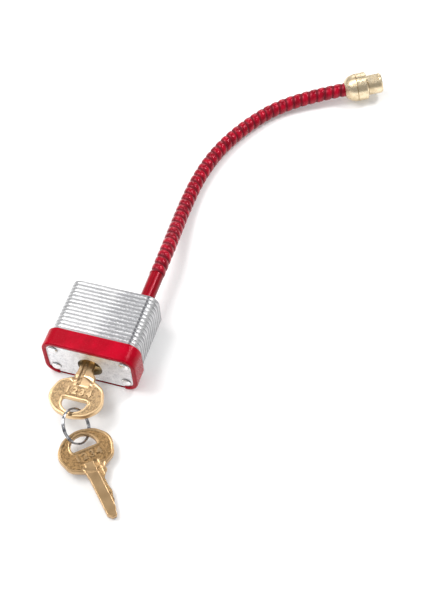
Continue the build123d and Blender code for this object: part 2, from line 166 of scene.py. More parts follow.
# Ribbed cable: steel strands under a red vinyl skin that is wound into a close rounded
# thread, so that it bends. It leaves the smooth sleeve, sinks to the table in a wide
# bow and climbs a little into the brass locking end.
cable_route = [
    (0.0085, 0.0354, 0.0081),
    (0.0085, 0.0442, 0.0081),
    (0.0074, 0.0565, 0.0052),
    (0.0065, 0.0695, 0.0029),
    (0.0068, 0.0825, 0.00245),
    (0.0093, 0.0957, 0.00245),
    (0.0147, 0.1084, 0.00245),
    (0.0232, 0.1211, 0.00245),
    (0.0363, 0.1295, 0.0039),
    (0.0450, 0.1336, 0.0047),
]
cable_radius = 2.45 * mm
rib_depth = 0.36 * mm
rib_pitch = 2.9 * mm
rings_per_rib = 12
valley_sharpness = 8
valley_floor_share = 0.75
cable_sides = 40
cable_red = (0.44, 0.001, 0.018)
cable_cloud_red = (0.22, 0.0, 0.008)
cable_valley_shade_red = (0.09, 0.0, 0.004)
vinyl_sheen = (1.0, 0.30, 0.38, 1.0)


def route_line(name, points):
    """The smooth line of a cord as a mesh of edges, from its control points."""
    curve = bpy.data.curves.new(name, "CURVE")
    curve.dimensions = "3D"
    curve.resolution_u = 24
    spline = curve.splines.new("NURBS")
    spline.points.add(len(points) - 1)
    for point, place in zip(spline.points, points):
        point.co = (*place, 1.0)
    spline.order_u = 3
    spline.use_endpoint_u = True
    guide = bpy.data.objects.new(name, curve)
    bpy.context.scene.collection.objects.link(guide)
    line = bpy.data.meshes.new_from_object(guide)
    bpy.data.objects.remove(guide)
    return line


def new_tree(name, kind, inputs, outputs):
    """A node tree with these sockets, and its input and output nodes."""
    tree = bpy.data.node_groups.new(name, kind)
    for label, socket_type, value in inputs:
        socket = tree.interface.new_socket(label, in_out="INPUT", socket_type=socket_type)
        if value is not None:
            socket.default_value = value
    for label, socket_type in outputs:
        tree.interface.new_socket(label, in_out="OUTPUT", socket_type=socket_type)
    return tree, new_node(tree, "NodeGroupInput"), new_node(tree, "NodeGroupOutput")


def cord_tree():
    """Geometry nodes that turn a line into a round cord, with or without a wound rib."""
    tree, given, result = new_tree(
        "wound_cord",
        "GeometryNodeTree",
        [
            ("Line", "NodeSocketGeometry", None),
            ("Radius", "NodeSocketFloat", 0.001),
            ("Rib Depth", "NodeSocketFloat", 0.0),
            ("Rib Pitch", "NodeSocketFloat", 0.003),
            ("Step", "NodeSocketFloat", 0.0003),
            ("Sides", "NodeSocketInt", 16),
            ("Material", "NodeSocketMaterial", None),
        ],
        [("Mesh", "NodeSocketGeometry")],
    )
    join = tree.links.new
    line = new_node(tree, "GeometryNodeMeshToCurve")
    even = new_node(tree, "GeometryNodeResampleCurve", mode="LENGTH")
    along = new_node(tree, "GeometryNodeCaptureAttribute")
    along.capture_items.new("FLOAT", "along")
    around = new_node(tree, "GeometryNodeCaptureAttribute")
    around.capture_items.new("FLOAT", "around")
    place = new_node(tree, "GeometryNodeSplineParameter")
    circle = new_node(tree, "GeometryNodeCurvePrimitiveCircle", mode="RADIUS")
    skin = new_node(tree, "GeometryNodeCurveToMesh", {"Fill Caps": True})
    join(given.outputs["Line"], line.inputs["Mesh"])
    join(line.outputs["Curve"], even.inputs["Curve"])
    join(given.outputs["Step"], even.inputs["Length"])
    join(even.outputs["Curve"], along.inputs["Geometry"])
    join(place.outputs["Length"], along.inputs["along"])
    join(given.outputs["Sides"], circle.inputs["Resolution"])
    join(given.outputs["Radius"], circle.inputs["Radius"])
    join(circle.outputs["Curve"], around.inputs["Geometry"])
    join(place.outputs["Factor"], around.inputs["around"])
    join(along.outputs["Geometry"], skin.inputs["Curve"])
    join(around.outputs["Geometry"], skin.inputs["Profile Curve"])

    # The valley winds round once for each pitch: narrow at its floor, with round shoulders.
    turns = calc(tree, "DIVIDE", along.outputs["along"], given.outputs["Rib Pitch"])
    turns = calc(tree, "ADD", turns, around.outputs["around"])
    wave = calc(tree, "ABSOLUTE", calc(tree, "COSINE", calc(tree, "MULTIPLY", turns, math.pi)))
    valley = calc(tree, "MULTIPLY", calc(tree, "POWER", wave, valley_sharpness), valley_floor_share)
    valley = calc(tree, "MULTIPLY_ADD", calc(tree, "POWER", wave, 2.0), 1 - valley_floor_share, valley)
    drop = calc(tree, "MULTIPLY", calc(tree, "MULTIPLY", valley, given.outputs["Rib Depth"]), -1.0)
    normal = new_node(tree, "GeometryNodeInputNormal")
    sink = new_node(tree, "ShaderNodeVectorMath", operation="SCALE")
    move = new_node(tree, "GeometryNodeSetPosition")
    keep = new_node(
        tree, "GeometryNodeStoreNamedAttribute", {"Name": "valley"}, data_type="FLOAT", domain="POINT"
    )
    smooth = new_node(tree, "GeometryNodeSetShadeSmooth")
    real = new_node(tree, "GeometryNodeRealizeInstances")
    coat = new_node(tree, "GeometryNodeSetMaterial")
    join(normal.outputs["Normal"], sink.inputs[0])
    join(drop, sink.inputs["Scale"])
    join(skin.outputs["Mesh"], move.inputs["Geometry"])
    join(sink.outputs["Vector"], move.inputs["Offset"])
    join(move.outputs["Geometry"], keep.inputs["Geometry"])
    join(valley, keep.inputs["Value"])
    join(keep.outputs["Geometry"], smooth.inputs["Geometry"])
    join(smooth.outputs["Geometry"], real.inputs["Geometry"])
    join(real.outputs["Geometry"], coat.inputs["Geometry"])
    join(given.outputs["Material"], coat.inputs["Material"])
    join(coat.outputs["Geometry"], result.inputs["Mesh"])
    return tree


def grow(name, start, tree, values):
    """The plain mesh that a geometry tree makes from a starting mesh."""
    source = bpy.data.objects.new(name, start)
    bpy.context.scene.collection.objects.link(source)
    modifier = source.modifiers.new(tree.name, "NODES")
    modifier.node_group = tree
    for socket in tree.interface.items_tree:
        if socket.name in values:
            modifier[socket.identifier] = values[socket.name]
    seen_state = source.evaluated_get(bpy.context.evaluated_depsgraph_get())
    mesh = bpy.data.meshes.new_from_object(seen_state)
    bpy.data.objects.remove(source)
    return mesh


def face_outwards(mesh):
    """Turns every face of a closed mesh to the outside."""
    shell = bmesh.new()
    shell.from_mesh(mesh)
    bmesh.ops.recalc_face_normals(shell, faces=shell.faces)
    shell.to_mesh(mesh)
    shell.free()


def add_piece(name, mesh, body, nodes):
    """A finished piece that rides on a body and stands for these CAD nodes."""
    face_outwards(mesh)
    piece = bpy.data.objects.new(name, mesh)
    bpy.context.scene.collection.objects.link(piece)
    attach(piece, body)
    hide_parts(*nodes)
    return piece


def mix_color(tree, mask, first, second):
    """A colour between two, by a mask; each is a socket or a plain colour."""
    mix = new_node(tree, "ShaderNodeMix", data_type="RGBA")
    tree.links.new(mask, mix.inputs["Factor"])
    for socket, color in zip(mix.inputs[6:8], (first, second)):
        if isinstance(color, bpy.types.NodeSocket):
            tree.links.new(color, socket)
        else:
            socket.default_value = (*color, 1.0)
    return mix.outputs[2]


def add_bump(tree, shader, height, distance, strength=1.0):
    """Gives the shader a normal from a height in metres times distance."""
    bump = new_node(tree, "ShaderNodeBump", {"Distance": distance, "Strength": strength})
    tree.links.new(height, bump.inputs["Height"])
    tree.links.new(bump.outputs["Normal"], shader.inputs["Normal"])


def grain_group():
    """Noise drawn out along one axis or another, for streaks, cloudiness and sand."""
    tree, given, result = new_tree(
        "grain",
        "ShaderNodeTree",
        [
            ("Stretch", "NodeSocketVector", (1000.0, 1000.0, 1000.0)),
            ("Seed", "NodeSocketFloat", 0.0),
            ("Low", "NodeSocketFloat", 0.35),
            ("High", "NodeSocketFloat", 0.65),
        ],
        [("Mask", "NodeSocketFloat")],
    )
    join = tree.links.new
    place = new_node(tree, "ShaderNodeTexCoord")
    stretch = new_node(tree, "ShaderNodeVectorMath", operation="MULTIPLY")
    noise = new_node(tree, "ShaderNodeTexNoise", {"Scale": 1.0, "Detail": 3.0}, noise_dimensions="4D")
    clip = new_node(tree, "ShaderNodeMapRange", interpolation_type="SMOOTHSTEP")
    join(place.outputs["Object"], stretch.inputs[0])
    join(given.outputs["Stretch"], stretch.inputs[1])
    join(stretch.outputs["Vector"], noise.inputs["Vector"])
    join(given.outputs["Seed"], noise.inputs["W"])
    join(noise.outputs["Fac"], clip.inputs["Value"])
    join(given.outputs["Low"], clip.inputs["From Min"])
    join(given.outputs["High"], clip.inputs["From Max"])
    join(clip.outputs["Result"], result.inputs["Mask"])
    return tree


grain = grain_group()


def grain_mask(tree, stretch, seed, low=0.35, high=0.65):
    """A 0 to 1 mask from the grain group; one stretch is even, and seed may be a socket."""
    group = new_node(tree, "ShaderNodeGroup", node_tree=grain)
    group.inputs["Stretch"].default_value = stretch if isinstance(stretch, tuple) else (stretch,) * 3
    group.inputs["Low"].default_value = low
    group.inputs["High"].default_value = high
    if isinstance(seed, bpy.types.NodeSocket):
        tree.links.new(seed, group.inputs["Seed"])
    else:
        group.inputs["Seed"].default_value = seed
    return group.outputs["Mask"]


def cable_material():
    """Clear glossy red with painted shade in the valley, and faint clouds in the vinyl."""
    material, shader = new_material("cable_vinyl", cable_red, 0.34)
    tree = material.node_tree
    shader.inputs["Specular IOR Level"].default_value = 0.60
    shader.inputs["Specular Tint"].default_value = vinyl_sheen
    valley = new_node(tree, "ShaderNodeAttribute", attribute_name="valley")
    clouds = grain_mask(tree, 420.0, 2.0)
    red = mix_color(tree, clouds, cable_red, cable_cloud_red)
    # Painted shade: the valleys of the rib are darkened.
    valley_shade = calc(tree, "POWER", valley.outputs["Fac"], 1.1)
    tree.links.new(mix_color(tree, valley_shade, red, cable_valley_shade_red), shader.inputs["Base Color"])
    rough = calc(tree, "MULTIPLY_ADD", valley.outputs["Fac"], 0.5, 0.16)
    tree.links.new(rough, shader.inputs["Roughness"])
    add_bump(tree, shader, grain_mask(tree, 2600.0, 5.0), 0.02 * mm)
    return material


cord = cord_tree()
cable_line = route_line("cable_route", cable_route)
cable_mesh = grow("cable", cable_line, cord, {
    "Radius": cable_radius,
    "Rib Depth": rib_depth,
    "Rib Pitch": rib_pitch,
    "Step": rib_pitch / rings_per_rib,
    "Sides": cable_sides,
    "Material": cable_material(),
})
cable = add_piece("ribbed_cable", cable_mesh, "body", ["cable_cord"])


# Smooth sleeve: a moulded red vinyl tube over the first stretch of cable, pushed into
# the body's top plates. Its steel core is bare strand, gripped by the crimped anchor.
sleeve_red = (0.31, 0.001, 0.010)
sleeve_dark_red = (0.20, 0.001, 0.006)


def dress(material, *nodes):
    """Gives CAD nodes this material."""
    for name in nodes:
        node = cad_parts[name]
        node.data.materials.clear()
        node.data.materials.append(material)


def sleeve_material():
    """Smooth glossy vinyl with faint draw lines along the tube."""
    material, shader = new_material("sleeve_vinyl", sleeve_red, 0.24)
    tree = material.node_tree
    shader.inputs["Specular IOR Level"].default_value = 0.30
    shader.inputs["Specular Tint"].default_value = vinyl_sheen
    lines = grain_mask(tree, (2400.0, 90.0, 2400.0), 1.0)
    tree.links.new(mix_color(tree, lines, sleeve_red, sleeve_dark_red), shader.inputs["Base Color"])
    add_bump(tree, shader, lines, 0.004 * mm)
    return material


dress(sleeve_material(), "cable_sleeve")


# Locking end: turned from pale brass and crimped on the cable. A dome runs up to a
# collar, and past a turned neck stands the notched tip that the socket lever holds.
ferrule_brass = (0.76, 0.64, 0.45)
ferrule_dull = (0.60, 0.48, 0.31)
turning_pitch = 0.18 * mm
turning_depth = 0.006 * mm


def turning_group():
    """The fine rings that a lathe leaves across an axis, as a height of -1 to 1."""
    tree, given, result = new_tree(
        "turning",
        "ShaderNodeTree",
        [
            ("Start", "NodeSocketVector", (0.0, 0.0, 0.0)),
            ("Direction", "NodeSocketVector", (0.0, 1.0, 0.0)),
            ("Pitch", "NodeSocketFloat", 0.0002),
        ],
        [("Height", "NodeSocketFloat")],
    )
    join = tree.links.new
    place = new_node(tree, "ShaderNodeTexCoord")
    from_start = new_node(tree, "ShaderNodeVectorMath", operation="SUBTRACT")
    along = new_node(tree, "ShaderNodeVectorMath", operation="DOT_PRODUCT")
    join(place.outputs["Object"], from_start.inputs[0])
    join(given.outputs["Start"], from_start.inputs[1])
    join(from_start.outputs["Vector"], along.inputs[0])
    join(given.outputs["Direction"], along.inputs[1])
    turns = calc(tree, "DIVIDE", along.outputs["Value"], given.outputs["Pitch"])
    join(calc(tree, "SINE", calc(tree, "MULTIPLY", turns, 2 * math.pi)), result.inputs["Height"])
    return tree


turning = turning_group()


def turned_brass(name, color, dull, start, direction):
    """Brass off a lathe: fine rings across its axis and a faint dull bloom."""
    material, shader = new_material(name, color, 0.3, 1.0)
    tree = material.node_tree
    bloom = grain_mask(tree, 500.0, 3.0)
    tree.links.new(mix_color(tree, bloom, color, dull), shader.inputs["Base Color"])
    tree.links.new(calc(tree, "MULTIPLY_ADD", bloom, 0.16, 0.22), shader.inputs["Roughness"])
    rings = new_node(tree, "ShaderNodeGroup", node_tree=turning)
    rings.inputs["Start"].default_value = start
    rings.inputs["Direction"].default_value = direction
    rings.inputs["Pitch"].default_value = turning_pitch
    add_bump(tree, shader, rings.outputs["Height"], turning_depth)
    return material


ferrule_axis = (Vector(cable_route[-1]) - Vector(cable_route[-2])).normalized()
dress(
    turned_brass("ferrule_brass", ferrule_brass, ferrule_dull, cable_route[-1], ferrule_axis),
    "end_ferrule",
)


# Plates: eighteen stampings of zinc-plated steel in a stack. The punch leaves each edge
# bright and smooth on one side and torn and dull on the other, and the stack is tumbled.
plate_low, plate_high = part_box("plate_01")
face_y = plate_low[1]
plate_thickness = plate_high[1] - plate_low[1]
zinc_bright = (0.70, 0.70, 0.70)
zinc_grey = (0.30, 0.30, 0.31)
zinc_face = (0.92, 0.92, 0.93)
zinc_face_grey = (0.52, 0.52, 0.54)
zinc_corner_shade = (0.12, 0.12, 0.13)
# Painted shade on the right of the front: where it starts and ends across X, slanting with Y.
right_shade_start = -2.0 * mm
right_shade_end = 2.5 * mm
right_shade_slant = 0.12
torn_start = 0.42
torn_end = 0.60
side_shade_grey = 0.55
corner_shade_start = 0.12
plate_relief = 0.08 * mm


def graded(tree, value, start, end, top=1.0, smooth=False):
    """A socket that runs from 0 where value is start to top where it is end, straight or eased."""
    span = {"From Min": start, "From Max": end, "To Max": top}
    kind = "SMOOTHSTEP" if smooth else "LINEAR"
    node = new_node(tree, "ShaderNodeMapRange", span, interpolation_type=kind)
    tree.links.new(value, node.inputs["Value"])
    return node.outputs["Result"]


def plate_material():
    """Zinc-plated steel: banded and streaked on a plate's edge, mottled on its flat, with painted shade on
    the right, the side and the corner.
    """
    material, shader = new_material("zinc_plate", zinc_bright, 0.36, 1.0)
    tree = material.node_tree
    join = tree.links.new
    place = new_node(tree, "ShaderNodeTexCoord")
    split = new_node(tree, "ShaderNodeSeparateXYZ")
    turn = new_node(tree, "ShaderNodeSeparateXYZ")
    join(place.outputs["Object"], split.inputs[0])
    join(place.outputs["Normal"], turn.inputs[0])
    raised = calc(tree, "DIVIDE", calc(tree, "SUBTRACT", split.outputs["Y"], face_y), plate_thickness)
    share = calc(tree, "FRACT", raised)
    number = calc(tree, "FLOOR", raised)

    # Across one plate's edge: rolled over, sheared bright, then torn and grey.
    ragged = grain_mask(tree, (500.0, 60.0, 500.0), calc(tree, "MULTIPLY", number, 3.7))
    tear = calc(tree, "MULTIPLY_ADD", ragged, 0.22, calc(tree, "SUBTRACT", share, 0.11))
    torn = graded(tree, tear, torn_start, torn_end, smooth=True)
    streaks = grain_mask(tree, (170.0, 3200.0, 170.0), calc(tree, "MULTIPLY", number, 1.9), 0.3, 0.7)
    specks = grain_mask(tree, 3400.0, 4.0, 0.45, 0.75)
    pits = grain_mask(tree, (1500.0, 2400.0, 1500.0), 11.0, 0.40, 0.62)
    grey = calc(tree, "MULTIPLY_ADD", torn, 0.50, calc(tree, "MULTIPLY", streaks, 0.35))

    # Painted shade darkens the right of the front, where the plating is also pitted, and greys the lock's
    # side.
    slanted = calc(tree, "MULTIPLY_ADD", split.outputs["Y"], -right_shade_slant, split.outputs["X"])
    wear_and_shade = graded(tree, slanted, right_shade_start, right_shade_end)
    corner_free_of_pits_and_shade = graded(tree, turn.outputs["X"], 0.30, 0.18)
    dull = calc(tree, "MULTIPLY", wear_and_shade, calc(tree, "MULTIPLY_ADD", pits, 0.8, 0.25))
    grey = calc(tree, "MULTIPLY_ADD", dull, corner_free_of_pits_and_shade, grey)
    # Painted shade greys the side, where the normal turns to +X.
    side = graded(tree, turn.outputs["X"], 0.70, 0.95, side_shade_grey)
    grey = calc(tree, "MINIMUM", calc(tree, "ADD", grey, side), 1.0)
    edge = mix_color(tree, grey, zinc_bright, zinc_grey)

    # Painted shade: a dark line where the corner starts to turn.
    from_corner = calc(tree, "ABSOLUTE", calc(tree, "SUBTRACT", turn.outputs["X"], corner_shade_start))
    corner_shade_line = graded(tree, from_corner, 0.10, 0.04, smooth=True)
    edge = mix_color(tree, calc(tree, "MULTIPLY", corner_shade_line, 0.85), edge, zinc_corner_shade)

    mottle = grain_mask(tree, 650.0, 6.0, 0.3, 0.7)
    face_dull = calc(tree, "MULTIPLY_ADD", specks, 0.5, calc(tree, "MULTIPLY", mottle, 0.4))
    face = mix_color(tree, face_dull, zinc_face, zinc_face_grey)
    flat = graded(tree, calc(tree, "ABSOLUTE", turn.outputs["Y"]), 0.6, 0.8, smooth=True)
    join(mix_color(tree, flat, edge, face), shader.inputs["Base Color"])
    rough = calc(tree, "MULTIPLY_ADD", torn, 0.14, 0.36)
    rough = calc(tree, "MULTIPLY_ADD", specks, 0.12, rough)
    join(calc(tree, "MULTIPLY_ADD", flat, 0.15, rough), shader.inputs["Roughness"])

    # The edge swells a little between its two corners and carries the streaks.
    swell = calc(tree, "SINE", calc(tree, "MULTIPLY", share, math.pi))
    on_edge = calc(tree, "SUBTRACT", 1.0, flat)
    relief = calc(tree, "MULTIPLY", calc(tree, "MULTIPLY_ADD", streaks, -0.12, swell), on_edge)
    relief = calc(tree, "MULTIPLY_ADD", specks, -0.10, relief)
    waves = grain_mask(tree, (130.0, 700.0, 130.0), calc(tree, "MULTIPLY", number, 2.3), 0.2, 0.8)
    relief = calc(tree, "MULTIPLY_ADD", waves, 0.35, relief)
    add_bump(tree, shader, relief, plate_relief)
    return material


plate_names = [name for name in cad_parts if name.startswith("plate_")]
dress(plate_material(), *plate_names)


# Rivets: four soft steel rivets hold the stack. Each has a domed head on the keyway
# face with a small flat rim, and is peened over at the cable face.
rivets_low, rivets_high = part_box("body_rivets")
head_radius = 1.75 * mm
head_height = 0.75 * mm
shank_radius = 0.95 * mm
tail_radius = 1.5 * mm
tail_height = 0.3 * mm
rivet_length = rivets_high[1] - rivets_low[1] - head_height - tail_height
rivet_sides = 32
dome_steps = 8
dome_share = 0.93
head_rim_share = 0.10
dome_start_share = 0.12
rivet_crease = math.radians(40)
rivet_bright = (0.86, 0.86, 0.86)
rivet_scratch_and_shade = (0.07, 0.07, 0.08)


def lathe(name, profile, sides):
    """A closed turned mesh about Z, from (radius, height) points that start and end on it."""
    points = [(0.0, 0.0, profile[0][1]), (0.0, 0.0, profile[-1][1])]
    rings = []
    for radius, height in profile[1:-1]:
        rings.append(len(points))
        for side in range(sides):
            angle = 2 * math.pi * side / sides
            points.append((radius * math.cos(angle), radius * math.sin(angle), height))
    faces = []
    for side in range(sides):
        after = (side + 1) % sides
        faces.append((0, rings[0] + after, rings[0] + side))
        for ring, following in zip(rings, rings[1:]):
            faces.append((ring + side, ring + after, following + after, following + side))
        faces.append((1, rings[-1] + side, rings[-1] + after))
    mesh = bpy.data.meshes.new(name)
    mesh.from_pydata(points, [], faces)
    return mesh


def rivet_profile():
    """Domed head at the bottom, its top at height zero, then the shank and the tail."""
    dome = []
    for step in range(dome_steps + 1):
        angle = math.pi / 2 * step / dome_steps
        rise = dome_start_share + (1 - dome_start_share) * math.cos(angle)
        dome.append((head_radius * dome_share * math.sin(angle), -head_height * rise))
    rim = [(head_radius, -head_height * head_rim_share), (head_radius, 0.0), (shank_radius, 0.0)]
    end = rivet_length
    tail = [
        (shank_radius, end),
        (tail_radius, end),
        (tail_radius, end + tail_height * 0.5),
        (tail_radius * 0.8, end + tail_height),
        (0.0, end + tail_height),
    ]
    return dome + rim + tail


def corners_tree():
    """Geometry nodes that stand one mesh at the four corners of a rectangle."""
    tree, given, result = new_tree(
        "four_corners",
        "GeometryNodeTree",
        [
            ("Piece", "NodeSocketGeometry", None),
            ("Width", "NodeSocketFloat", 0.02),
            ("Depth", "NodeSocketFloat", 0.01),
            ("Material", "NodeSocketMaterial", None),
        ],
        [("Mesh", "NodeSocketGeometry")],
    )
    join = tree.links.new
    corners = new_node(tree, "GeometryNodeMeshGrid", {"Vertices X": 2, "Vertices Y": 2})
    copies = new_node(tree, "GeometryNodeInstanceOnPoints")
    real = new_node(tree, "GeometryNodeRealizeInstances")
    smooth = new_node(tree, "GeometryNodeSetShadeSmooth")
    coat = new_node(tree, "GeometryNodeSetMaterial")
    join(given.outputs["Width"], corners.inputs["Size X"])
    join(given.outputs["Depth"], corners.inputs["Size Y"])
    join(corners.outputs["Mesh"], copies.inputs["Points"])
    join(given.outputs["Piece"], copies.inputs["Instance"])
    join(copies.outputs["Instances"], real.inputs["Geometry"])
    join(real.outputs["Geometry"], smooth.inputs["Geometry"])
    join(smooth.outputs["Geometry"], coat.inputs["Geometry"])
    join(given.outputs["Material"], coat.inputs["Material"])
    join(coat.outputs["Geometry"], result.inputs["Mesh"])
    return tree


def rivet_material():
    """Bright soft steel with faint scratches, and painted shade round the edge of each head."""
    material, shader = new_material("rivet_steel", rivet_bright, 0.16, 1.0)
    tree = material.node_tree
    place = new_node(tree, "ShaderNodeTexCoord")
    turn = new_node(tree, "ShaderNodeSeparateXYZ")
    tree.links.new(place.outputs["Normal"], turn.inputs[0])
    # Painted shade: each head darkens where its surface turns away from the face, round its edge.
    edge = graded(tree, calc(tree, "ABSOLUTE", turn.outputs["Y"]), 0.72, 0.30, smooth=True)
    scratches = grain_mask(tree, 1400.0, 1.0, 0.4, 0.7)
    scratches_and_shade = calc(tree, "MULTIPLY_ADD", scratches, 0.25, calc(tree, "MULTIPLY", edge, 0.85))
    tree.links.new(mix_color(tree, scratches_and_shade, rivet_bright, rivet_scratch_and_shade), shader.inputs["Base Color"])
    return material


rivet_mesh = grow("rivets", lathe("rivet", rivet_profile(), rivet_sides), corners_tree(), {
    "Width": rivets_high[0] - rivets_low[0] - 2 * head_radius,
    "Depth": rivets_high[2] - rivets_low[2] - 2 * head_radius,
    "Material": rivet_material(),
})
rivet_middle = Vector((
    (rivets_low[0] + rivets_high[0]) / 2,
    face_y,
    (rivets_low[2] + rivets_high[2]) / 2,
))
rivet_mesh.transform(Matrix.Translation(rivet_middle) @ Matrix.Rotation(-math.pi / 2, 4, "X"))
rivet_mesh.set_sharp_from_angle(angle=rivet_crease)
add_piece("rivets", rivet_mesh, "body", ["body_rivets"])


# Bumper: a band of soft red vinyl stretched round the keyway end, moulded with rounded
# edges and a lip that turns in over the first plate. Its front is left bare.
bumper_low, bumper_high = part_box("bumper")
body_low, body_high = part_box("plate_10")
bumper_wall = body_low[0] - bumper_low[0]
body_corner = 3.4 * mm
lip_cover = 0.5 * mm
lip_chamfer = 0.12 * mm
lip_fold = 0.01 * mm
band_round_top = 0.42 * mm
band_round_bottom = 0.5 * mm
band_hollow = 0.05 * mm
bumper_crease = math.radians(50)
bumper_red = (0.50, 0.0, 0.016)
bumper_deep_red = (0.36, 0.0, 0.010)
corner_steps = 10
back_relief = 1.6 * mm
back_blend = 0.8 * mm
back_steps = (0.25, 0.5, 0.75, 1.0)


def arc(centre, radius, start, end, steps):
    """Points on an arc, in degrees, both ends included."""
    angles = [math.radians(start + (end - start) * step / steps) for step in range(steps + 1)]
    return [Vector((centre[0] + radius * math.cos(a), centre[1] + radius * math.sin(a))) for a in angles]


def ramp(value, start, end):
    """A smooth rise from 0 at start to 1 at end."""
    share = min(1.0, max(0.0, (value - start) / (end - start)))
    return share * share * (3 - 2 * share)


def bumper_section():
    """The band's section: how far it stands out from the plates, and its height along Y."""
    outer = bumper_wall
    bottom = bumper_low[1]
    top = bumper_high[1]
    points = [(-lip_cover, face_y), (-lip_cover, bottom + lip_chamfer), (-lip_cover + lip_chamfer, bottom)]
    points += arc((outer - band_round_bottom, bottom + band_round_bottom), band_round_bottom, -90, 0, 6)
    points += [(outer - band_hollow, bottom + (top - bottom) * share) for share in (0.35, 0.65)]
    points += arc((outer - band_round_top, top - band_round_top), band_round_top, 0, 90, 6)
    points += [(0.0, top), (0.0, face_y)]
    return points


def bumper_mesh():
    """Carries the section round the plates' rounded outline."""
    half_width = (body_high[0] - body_low[0]) / 2 - body_corner
    half_depth = (body_high[2] - body_low[2]) / 2 - body_corner
    middle_x = (body_high[0] + body_low[0]) / 2
    middle_z = (body_high[2] + body_low[2]) / 2
    section = bumper_section()
    shell = bmesh.new()
    rows = []

    def add_row(corner, out, relief):
        """One ring of the band; relief draws the lip back where the band is cut short."""
        row = []
        for place, (stand, height) in enumerate(section):
            if height <= face_y:
                height += back_relief * relief
                stand += relief * (max(stand, lip_fold * (3 - place)) - stand)
            row.append(shell.verts.new(corner + out * (body_corner + stand) + Vector((0, height, 0))))
        rows.append(row)

    for quarter, (side, rise) in enumerate(((1, 1), (-1, 1), (-1, -1), (1, -1))):
        corner = Vector((middle_x + side * half_width, 0, middle_z + rise * half_depth))
        for step in range(corner_steps + 1):
            angle = math.pi / 2 * (quarter + step / corner_steps)
            add_row(corner, Vector((math.cos(angle), 0, math.sin(angle))), 0.0)
        if quarter == 2:
            down = Vector((0, 0, -1))
            far = corner + Vector((2 * half_width, 0, 0))
            for share in back_steps:
                add_row(corner + Vector((share * back_blend, 0, 0)), down, ramp(share, 0.0, 1.0))
            for share in reversed(back_steps):
                add_row(far - Vector((share * back_blend, 0, 0)), down, ramp(share, 0.0, 1.0))
    for row, following in zip(rows, rows[1:] + rows[:1]):
        for place in range(len(section)):
            after = (place + 1) % len(section)
            shell.faces.new((row[place], row[after], following[after], following[place]))
    for face in shell.faces:
        face.smooth = True
    mesh = bpy.data.meshes.new("bumper")
    shell.to_mesh(mesh)
    shell.free()
    mesh.set_sharp_from_angle(angle=bumper_crease)
    return mesh


def bumper_material():
    """Glossy red vinyl with a faint pebble and slight clouds."""
    material, shader = new_material("bumper_vinyl", bumper_red, 0.34)
    tree = material.node_tree
    shader.inputs["Specular IOR Level"].default_value = 0.24
    shader.inputs["Specular Tint"].default_value = vinyl_sheen
    clouds = grain_mask(tree, 160.0, 8.0)
    tree.links.new(mix_color(tree, clouds, bumper_red, bumper_deep_red), shader.inputs["Base Color"])
    pebble = grain_mask(tree, 2200.0, 9.0, 0.2, 0.8)
    tree.links.new(calc(tree, "MULTIPLY_ADD", pebble, 0.10, 0.20), shader.inputs["Roughness"])
    add_bump(tree, shader, pebble, 0.02 * mm)
    return material


bumper_shell = bumper_mesh()
bumper_shell.materials.append(bumper_material())
add_piece("vinyl_bumper", bumper_shell, "body", ["bumper"])


# Lock cylinder: a brass plug turns in a brass case, with brass key pins, steel drivers
# and springs above them, a steel clip on the plug's neck and a steel cam behind it.
plug_low, plug_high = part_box("plug")
plug_axis_z = (plug_low[2] + plug_high[2]) / 2
cylinder_brass = (0.78, 0.62, 0.36)
cylinder_dull = (0.58, 0.42, 0.20)
pin_count = 4


def steel_material(name, color, dull, stretch, roughness=0.3):
    """Plain steel with drawn or ground streaks and a dull bloom."""
    material, shader = new_material(name, color, roughness, 1.0)
    tree = material.node_tree
    lines = grain_mask(tree, stretch, 1.0, 0.3, 0.7)
    tree.links.new(mix_color(tree, lines, color, dull), shader.inputs["Base Color"])
    tree.links.new(calc(tree, "MULTIPLY_ADD", lines, 0.14, roughness), shader.inputs["Roughness"])
    add_bump(tree, shader, lines, 0.01 * mm)
    return material


plug_brass = turned_brass(
    "plug_brass", cylinder_brass, cylinder_dull, (0.0, face_y, plug_axis_z), (0.0, 1.0, 0.0)
)
dress(plug_brass, "plug", "cylinder_case", "chamber_cover")
pin_brass = turned_brass(
    "pin_brass", (0.80, 0.66, 0.38), cylinder_dull, (0.0, 0.0, plug_axis_z), (1.0, 0.0, 0.0)
)
dress(pin_brass, *[f"key_pin_{number}" for number in range(1, pin_count + 1)])
pin_steel = steel_material(
    "pin_steel", (0.66, 0.66, 0.66), (0.50, 0.50, 0.51), (3000.0, 300.0, 300.0)
)
dress(pin_steel, *[f"driver_pin_{number}" for number in range(1, pin_count + 1)])
spring_steel = steel_material(
    "spring_steel", (0.55, 0.55, 0.56), (0.36, 0.36, 0.38), 2000.0, 0.26
)
dress(spring_steel, "pin_springs", "toe_lever_spring", "heel_lever_spring", "plug_clip")


# Levers, cam and anchor: stamped and turned steel with a dark oiled finish. The cam's
# two pegs draw the levers in as the plug turns, and springs push them out again.
lever_steel = steel_material(
    "lever_steel", (0.50, 0.50, 0.51), (0.34, 0.34, 0.36), (250.0, 2200.0, 250.0), 0.32
)
dress(lever_steel, "toe_lever", "heel_lever", "lock_cam", "cable_anchor")
core_steel = steel_material(
    "strand_steel", (0.58, 0.58, 0.59), (0.22, 0.22, 0.23), (1800.0, 500.0, 1800.0), 0.3
)
dress(core_steel, "cable_core")

